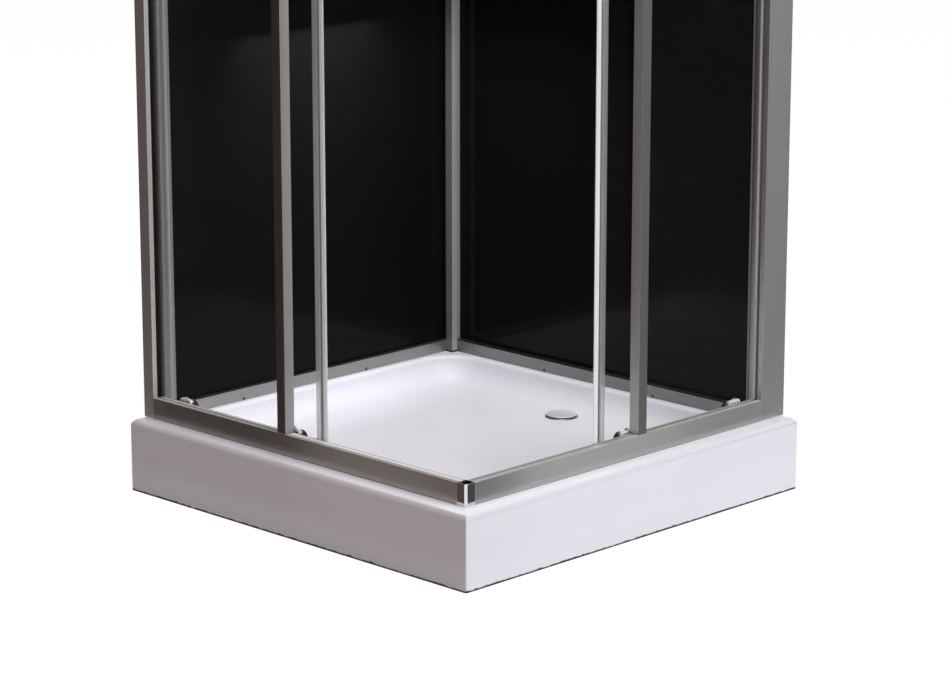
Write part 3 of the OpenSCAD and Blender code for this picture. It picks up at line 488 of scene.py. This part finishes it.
def on_wing(wing, along, inwards, upwards):
    """Corners of a box from spans in mm: along the rail to the door corner, inwards from
    the rail's face, and upwards."""
    rail_face = 420
    (s0, s1), (d0, d1), (z0, z1) = along, inwards, upwards
    if wing == "front":
        low, high = (s0, d0 - rail_face, z0), (s1, d1 - rail_face, z1)
    else:
        low, high = (rail_face - d1, -s1, z0), (rail_face - d0, -s0, z1)
    return [value * MM for value in low], [value * MM for value in high]


rail_end = 397.8
# The grey bead is sealant placed mainly to stand in for the thin shadow line at the rail's foot:
# painted shade.
bead_grey = fine_grained("sealant_and_shadow_bead", 60, (0.22,) * 3, (0.34,) * 3, 0.35, 0.2, 0.4)
for wing, post_end, jamb_start, jamb_end, dark, light in (
        ("front", -415, -66, -44, 0.66, 0.78), ("side", -376, -50, -28, 0.24, 0.32)):
    behind_pane = block(*on_wing(wing, (post_end, jamb_start), (17.1, 20.2), (178, 181.4)))
    beyond_pane = block(*on_wing(wing, (jamb_end, rail_end), (10.5, 20.2), (179, 181.6)))
    filler = joined([behind_pane, beyond_pane])
    bevel(filler, 0.3 * MM)
    # The front filler's pale tone is painted light and the side filler's dark tone painted
    # shade; both fillers are one vinyl.
    filler_vinyl = fine_grained(wing + "_filler_vinyl", 60, (dark,) * 3, (light,) * 3,
                                0.35, 0.2, 0.4)
    settle(filler, wing + "_rail_filler", filler_vinyl, "cabin", "light_plastic")
    bead = block(*on_wing(wing, (post_end, rail_end), (-0.9, 0.4), (141.9, 143.5)))
    bevel(bead, 0.35 * MM)
    settle(bead, wing + "_rail_bead", bead_grey, "cabin", "rubber")


# Column gasket and post caps: black plastic. The gasket lies between the rear
# column and the tray, and a thin cap closes the top end of each post.
end_plastic = fine_grained("end_plastic", 150, (0.012, 0.012, 0.013), (0.035, 0.035, 0.036),
                           0.4, 0.3, 0.5)
gasket = block((-394 * MM, 345 * MM, rim_top), (-376 * MM, 360 * MM, rim_top + 3.5 * MM))
bevel(gasket, 0.5 * MM)
settle(gasket, "column_foot_gasket", end_plastic, "cabin", "rubber")

post_top, cap_top = 2050 * MM, 2051.5 * MM
caps = joined([
    block((x0 * MM, y0 * MM, post_top), (x1 * MM, y1 * MM, cap_top))
    for x0, y0, x1, y1 in (
        (-442, -420, -415, -356), (388, 376, 420, 442), (-419, 357, -387, 391))])
bevel(caps, 0.6 * MM)
settle(caps, "post_caps", end_plastic, "cabin", "dark_plastic")


# Corner pieces: chromed zinc castings that cover the mitres where the rails meet,
# one at the foot and one at the top.
def chrome(name, roughness=0.06, tone=0.72, grain=0.0):
    made = Finish(name, Metallic=1.0)
    haze = made.noise(9, 5)
    smear = made.noise(70, 4)
    made.feed(Base_Color=made.mix(haze, (tone * 0.93,) * 3, (tone, tone, tone * 1.015)),
              Roughness=roughness + haze.maths("POWER", 3.0) * 0.22 + smear * grain)
    made.bump(made.noise(240, 2), 0.04 * MM, 0.4)
    return made


corner_chrome = chrome("corner_chrome")
for node in ("bottom_corner", "top_corner"):
    softened(node, corner_chrome, 0.8 * MM, 3)


# Walls: tempered glass, painted black on the outer side, so that it reads as a
# deep gloss black with the room faintly in it.
black_glass = Finish("black_glass", IOR=1.5, Specular_IOR_Level=0.06)
film = black_glass.noise(1.1, 4)
dust = black_glass.noise(160, 5, roughness=0.75)
black_glass.feed(
    Base_Color=black_glass.mix(film, (0.0038, 0.0038, 0.0040), (0.0072, 0.0071, 0.0072)),
    Roughness=0.03 + film * 0.05 + dust * 0.03)
black_glass.bump(black_glass.noise(1.6, 2), 0.6 * MM, 0.15)
for node in ("left_wall_glass", "back_wall_glass"):
    softened(node, black_glass, 0.8 * MM)


# Clear panes: tempered low-iron glass with ground edges. The faces are all but
# invisible and the edges are a pale grey, because they are ground matt.
def clear_glass(name, broad):
    made = Finish(name, IOR=1.5)
    edge = made.facing(broad).size().below(0.6)
    film = made.noise(4, 5)
    drops = made.noise(90, 4, roughness=0.7)
    made.feed(Base_Color=made.mix(edge, (0.10, 0.11, 0.112), (0.34, 0.37, 0.37)),
              Roughness=0.015 + film * 0.03 + edge * 0.25,
              Alpha=0.006 + film * 0.008 + (drops - 0.6) * 0.02 + edge * 0.55)
    made.bump(made.noise(1.4, 2), 0.2 * MM, 0.1)
    return made


for wing, broad in (("front", Y), ("side", X)):
    pane_glass = clear_glass("clear_glass_" + wing, broad)
    for pane in ("_fixed_glass", "_door_glass"):
        softened(wing + pane, pane_glass, 0.6 * MM)


# Seals: vinyl wedges behind the fixed panes, black in the front wing and pale in
# the side wing, woven pile strips on their end profiles, and rubber door stops.
stop_rubber = Finish("strip_rubber")
rib = stop_rubber.noise(30, 3, stretch=(1, 1, 0.02))
stop_rubber.feed(Base_Color=stop_rubber.mix(rib, (0.012, 0.012, 0.013), (0.035, 0.034, 0.034)),
                 Roughness=0.45 + rib * 0.3)
stop_rubber.bump(rib, 0.3 * MM, 0.5)
finish_node("door_stops", stop_rubber)

wedge_vinyl = Finish("glazing_strip")
draw = wedge_vinyl.noise(25, 3, stretch=(1, 1, 0.03))
on_front_wing = wedge_vinyl.axis(X).below(0)
pale = wedge_vinyl.mix(draw, (0.42, 0.42, 0.42), (0.56, 0.56, 0.55))
black = wedge_vinyl.mix(draw, (0.012, 0.012, 0.013), (0.028, 0.028, 0.028))
wedge_vinyl.feed(Base_Color=wedge_vinyl.mix(on_front_wing, pale, black),
                 Roughness=0.3 + draw * 0.2)
wedge_vinyl.bump(draw, 0.2 * MM, 0.4)
finish_node("glazing_seals", wedge_vinyl)

pile = Finish("pile_strip", Roughness=0.95, Sheen_Weight=0.3)
tuft = pile.noise(900, 2, stretch=(1, 1, 0.4))
pile.feed(Base_Color=pile.mix(tuft, (0.02, 0.02, 0.021), (0.11, 0.11, 0.11)))
pile.bump(tuft, 0.8 * MM, 1.0)
finish_node("jamb_brushes", pile)


# Door edges: milky vinyl profiles gripped on the glass, each with a paler closing
# strip that is darker in a thin line along its root.
def extruded_plastic(name, dark, light, solid, root=None):
    """Milky vinyl drawn along Z. Root is the axis, sign, limit and tone of a darker line along
    its root.
    """
    made = Finish(name, Alpha=solid, Subsurface_Weight=1.0, Subsurface_Scale=0.01,
                  Subsurface_Radius=(1, 1, 1))
    flow = made.noise(20, 4, stretch=(1, 1, 0.03))
    colour = made.mix(flow, dark, light)
    if root:
        axis, sign, limit, tone = root
        root_line = (made.axis(axis) * sign).below(limit, 0.4 * MM)
        colour = made.mix(root_line, colour, (tone, tone, tone * 1.1))
    made.feed(Base_Color=colour, Roughness=0.22 + flow * 0.2)
    made.bump(flow, 0.2 * MM, 0.4)
    return made


for wing, root, milk, solid in (
        ("front", (X, 1, 32.5 * MM, 0.27), 0.74, 0.44),
        ("side", (Y, -1, 56.5 * MM, 0.13), 0.40, 0.40)):
    edge_vinyl = extruded_plastic(wing + "_edge_vinyl", (milk * 0.94, milk * 0.97, milk),
                                  (milk, milk * 1.03, milk * 1.06), solid)
    softened(wing + "_door_edge", edge_vinyl, 0.5 * MM)
    strip_vinyl = extruded_plastic(wing + "_strip", (0.86, 0.87, 0.89), (0.93, 0.94, 0.95),
                                   0.85, root)
    softened(wing + "_magnet_strip", strip_vinyl, 0.5 * MM)


# Door fittings: chromed brass, with satin zinc guides that have three slots each,
# whose floors are painted near black as shade. The guides' near-white, barely metallic
# tone is partly satin zinc and partly painted highlight. Hangers carry the doors, and
# sprung arms below hold them to the rail.
fitting_chrome = chrome("fitting_chrome", 0.08, 0.7, 0.05)
# The near-white, barely metallic tone is partly satin zinc and partly painted highlight.
guide_tone, guide_metallic = 0.95, 0.3
for wing, axis, slot_floor in (("front", Y, -393.2 * MM), ("side", X, 393.2 * MM)):
    softened(wing + "_handle", fitting_chrome, 0.5 * MM)
    softened(wing + "_hangers", fitting_chrome, 0.3 * MM)
    zinc = satin_metal(wing + "_guide_zinc", guide_tone, guide_metallic, 0.24)
    # Painted shade: the slot floors are near black and not metal.
    slot_floor_shade = (zinc.axis(axis) - slot_floor).size().below(0.2 * MM)
    zinc.feed(Base_Color=zinc.mix(slot_floor_shade, (guide_tone,) * 3, (0.01, 0.01, 0.011)),
              Metallic=guide_metallic - slot_floor_shade * guide_metallic)
    softened(wing + "_guides", zinc, 0.35 * MM)
    for end in "ab":
        softened(wing + "_guide_arm_" + end, fitting_chrome, 0.25 * MM)


# Wheels: grooved rollers of dark acetal, each pressed on a small steel bearing
# with a pale shield.
def roller(name, centre, across, radius):
    made = Finish(name)
    spin = [0.0 if axis == across else 1.0 for axis in (X, Y, Z)]
    offset = made.node("ShaderNodeVectorMath", {"operation": "SUBTRACT"},
                       {0: made.place, 1: centre})
    flat = made.node("ShaderNodeVectorMath", {"operation": "MULTIPLY"}, {0: offset, 1: spin})
    out = made.node("ShaderNodeVectorMath", {"operation": "LENGTH"}, {0: flat}, "Value")
    hub = out.below(radius * 0.56, 0.2 * MM)
    ring = hub * out.above(radius * 0.42)
    wear = made.noise(140, 4)
    acetal = made.mix(wear, (0.012, 0.012, 0.013), (0.05, 0.05, 0.052))
    shield = made.mix(wear, (0.58, 0.59, 0.6), (0.7, 0.7, 0.71))
    made.feed(Base_Color=made.mix(hub, acetal, shield), Metallic=ring * 1.0,
              Roughness=0.42 - ring * 0.2 + wear * 0.15)
    made.bump((out * 9000).maths("SINE") * 0.3 + wear, 0.08 * MM, 0.6)
    return made


for wing, across in (("front", Y), ("side", X)):
    for kind, radius in (("top", 11 * MM), ("guide", 13 * MM)):
        for end in "ab":
            node = f"{wing}_{kind}_wheel_{end}"
            low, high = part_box(node)
            centre = [(a + b) / 2 for a, b in zip(low, high)]
            finish_node(node, roller(node + "_acetal", centre, across, radius))


# Mixer, riser and overhead shower: chromed brass, polished. Hexagon nuts hold the
# mixer behind the wall, and two enamel dots mark its hot and cold ways.
shower_chrome = chrome("shower_chrome")
for node in ("mixer_body", "mixer_cartridge", "mixer_lever", "riser_pipe", "shower_head"):
    softened(node, shower_chrome, 0.5 * MM)

mixer_x, mixer_z = 40 * MM, 1120 * MM
nut_y, nut_radius, nut_length = 354 * MM, 19 * MM, 11 * MM
for side, from_middle in (("hot", -75 * MM), ("cold", 75 * MM)):
    nut = turned((mixer_x + from_middle, nut_y, mixer_z), nut_radius, nut_length, Y, 6)
    bevel(nut, 0.7 * MM)
    settle(nut, side + "_union_nut", shower_chrome, "cabin", "chrome")

mark_y, mark_z = 295.9 * MM, mixer_z - 22.5 * MM
for side, colour, from_middle in (
        ("hot", (0.55, 0.02, 0.015), -5.5 * MM), ("cold", (0.015, 0.06, 0.45), 5.5 * MM)):
    enamel = Finish(side + "_mark_enamel", Coat_Weight=0.5)
    fleck = enamel.noise(400, 3)
    enamel.feed(Base_Color=enamel.mix(fleck, colour, [share * 0.7 for share in colour]),
                Roughness=0.2 + fleck * 0.15)
    mark = turned((mixer_x + from_middle, mark_y, mark_z), 1.6 * MM, 0.6 * MM, Y, 20)
    bevel(mark, 0.12 * MM)
    settle(mark, side + "_mark", enamel, "cabin", "dark_plastic")


# Nozzles: soft silicone tips that stand out of the overhead shower's face, one in
# the middle and six rings round it.
silicone = fine_grained("nozzle_silicone", 200, (0.16, 0.165, 0.17), (0.24, 0.245, 0.25),
                        0.5, 0.25, 0.4)
rings, ring_step = 7, 13.5 * MM
tip_radius, root_radius, nozzle_length = 1.3 * MM, 2.1 * MM, 2 * MM
low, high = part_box("shower_head")
middle_x, middle_y = (low.x + high.x) / 2, (low.y + high.y) / 2
nozzles = []
for ring in range(rings):
    count = max(1, 6 * ring)
    for i in range(count):
        angle = 2 * math.pi * i / count
        place = (middle_x + ring * ring_step * math.cos(angle),
                 middle_y + ring * ring_step * math.sin(angle), low.z - 0.8 * MM)
        nozzles.append(turned(place, tip_radius, nozzle_length, sides=10, upper=root_radius))
nozzles = joined(nozzles)
bevel(nozzles, 0.3 * MM, 1)
settle(nozzles, "head_nozzles", silicone, "shower_head", "rubber")


# Screws: two satin heads in the right post's outer face, each with a thin dark
# hexagon laid on it as painted shade for its socket, and dark plugs along the wall rails.
post_screws_from = 405 * MM
screw = Finish("screws_and_plugs")
plug = screw.axis(X).below(post_screws_from)
scuff = screw.noise(300, 4)
steel = screw.mix(scuff, (0.36, 0.36, 0.36), (0.46, 0.46, 0.46))
screw.feed(Base_Color=screw.mix(plug, steel, (0.03, 0.03, 0.032)),
           Metallic=1.0 - plug, Roughness=0.3 + scuff * 0.2 + plug * 0.2)
screw.bump(scuff, 0.1 * MM, 0.4)
finish_node("frame_screws", screw)
head_x, head_y = 421.6 * MM, 431.44 * MM
for end, z in (("low", 152 * MM), ("high", 2038.5 * MM)):
    # Painted shade: a thin dark hexagon on the head stands for the socket's recess.
    socket = turned((head_x, head_y, z), 1.3 * MM, 0.2 * MM, X, 6)
    bevel(socket, 0.05 * MM, 1)
    settle(socket, end + "_socket_painted_shade", end_plastic, "cabin", "dark_plastic")


# Floor and world: a white sweep that keeps a faint shadow, and a white room that
# the camera, metal and glass see at full strength and the rest dimmer and warmer.
def emptied(holder):
    """The node tree of a material or world, with nothing in it."""
    holder.use_nodes = True
    holder.node_tree.nodes.clear()
    return holder.node_tree


def seen(tree):
    """1 for the rays of the camera, of gloss and of glass."""
    rays = tree.nodes.new("ShaderNodeLightPath")
    total = rays.outputs["Is Camera Ray"]
    for kind in ("Is Glossy Ray", "Is Transmission Ray"):
        made = tree.nodes.new("ShaderNodeMath")
        made.operation = "MAXIMUM"
        tree.links.new(total, made.inputs[0])
        tree.links.new(rays.outputs[kind], made.inputs[1])
        total = made.outputs[0]
    return total


def shader(tree, kind, colour, strength=None):
    made = tree.nodes.new(kind)
    made.inputs["Color"].default_value = (*colour, 1)
    if strength is not None:
        made.inputs["Strength"].default_value = strength
    return made.outputs[0]


def mixed(tree, factor, first, second):
    made = tree.nodes.new("ShaderNodeMixShader")
    if isinstance(factor, float):
        made.inputs[0].default_value = factor
    else:
        tree.links.new(factor, made.inputs[0])
    tree.links.new(first, made.inputs[1])
    tree.links.new(second, made.inputs[2])
    return made.outputs[0]


def put_out(tree, kind, surface):
    tree.links.new(surface, tree.nodes.new(kind).inputs[0])


bpy.ops.mesh.primitive_plane_add(size=30, location=(0, 0, -0.5 * MM))
floor = bpy.context.object
floor.name = "floor"
floor_paint = bpy.data.materials.new("floor_white")
tree = emptied(floor_paint)
white = mixed(tree, 0.15, shader(tree, "ShaderNodeEmission", (1, 1, 1), 1.1),
              shader(tree, "ShaderNodeBsdfDiffuse", (0.95, 0.95, 0.95)))
grey = shader(tree, "ShaderNodeBsdfDiffuse", (0.3, 0.3, 0.3))
put_out(tree, "ShaderNodeOutputMaterial", mixed(tree, seen(tree), grey, white))
floor.data.materials.append(floor_paint)

world = bpy.data.worlds.new("world")
bpy.context.scene.world = world
tree = emptied(world)
warm = shader(tree, "ShaderNodeBackground", (1.0, 0.90, 0.89), 0.365)
white = shader(tree, "ShaderNodeBackground", (1, 1, 1), 1.0)
put_out(tree, "ShaderNodeOutputWorld", mixed(tree, seen(tree), warm, white))


# Lamps: a large soft one on the side of the room's window, one overhead, a weak
# warm one low in front, and a small one that lights the basin's floor.
def lamp(name, place, target, size, watts, colour=(1, 1, 1)):
    light = bpy.data.lights.new(name, "AREA")
    light.shape = "RECTANGLE"
    light.size, light.size_y = size
    light.energy = watts
    light.color = colour
    made = bpy.data.objects.new(name, light)
    made.location = place
    aim = Vector(target) - Vector(place)
    made.rotation_euler = aim.to_track_quat("-Z", "Y").to_euler()
    bpy.context.collection.objects.link(made)
    return made


lamp("key", (4.2, 0.6, 2.2), (0, 0, 0.6), (2.6, 2.6), 148, (0.96, 0.97, 1.0))
lamp("top", (0.3, -0.3, 4.6), (0, 0, 0.2), (2.2, 2.2), 88)
lamp("bounce", (0.5, -2.6, 0.3), (0.1, -0.45, 0.08), (1.6, 0.5), 1.6, (1.0, 0.5, 0.35))
inner = lamp("inner", (-0.22, -0.02, 0.85), (-0.22, -0.02, 0), (0.35, 0.35), 2.3)
inner.visible_camera = inner.visible_glossy = False


# Cards: dark and grey boards beside the cabin, as a product photographer sets
# them. Only metal sees them, and they give its front faces their brown dark tone.
def card(name, place, turn, size, colour):
    bpy.ops.mesh.primitive_plane_add(size=1, location=place, rotation=turn)
    made = bpy.context.object
    made.name = name
    made.scale = (*size, 1)
    paint = bpy.data.materials.new(name)
    tree = emptied(paint)
    put_out(tree, "ShaderNodeOutputMaterial", shader(tree, "ShaderNodeEmission", colour, 1.0))
    made.data.materials.append(paint)
    made.visible_camera = made.visible_diffuse = made.visible_shadow = False
    made.visible_transmission = False


faces_front, faces_side = (math.pi / 2, 0, 0), (0, math.pi / 2, 0)
card("front_card", (-1.56, -0.56, 1.5), faces_front, (2.88, 3.0), (0.074, 0.058, 0.050))
card("near_card", (0.12, -0.56, 1.5), faces_front, (0.48, 3.0), (0.26, 0.22, 0.20))
card("brown_card", (0.30, -0.555, 0.1), faces_front, (0.12, 0.2), (0.11, 0.065, 0.052))
card("corner_card", (0.56, -0.27, 0.12), faces_side, (0.24, 0.2), (0.08, 0.076, 0.074))
card("side_card", (0.60, 0.08, 0.6), faces_side, (1.2, 0.5), (0.58, 0.57, 0.57))
card("far_card", (0.60, 1.83, 0.6), faces_side, (1.2, 3.0), (0.34, 0.335, 0.33))
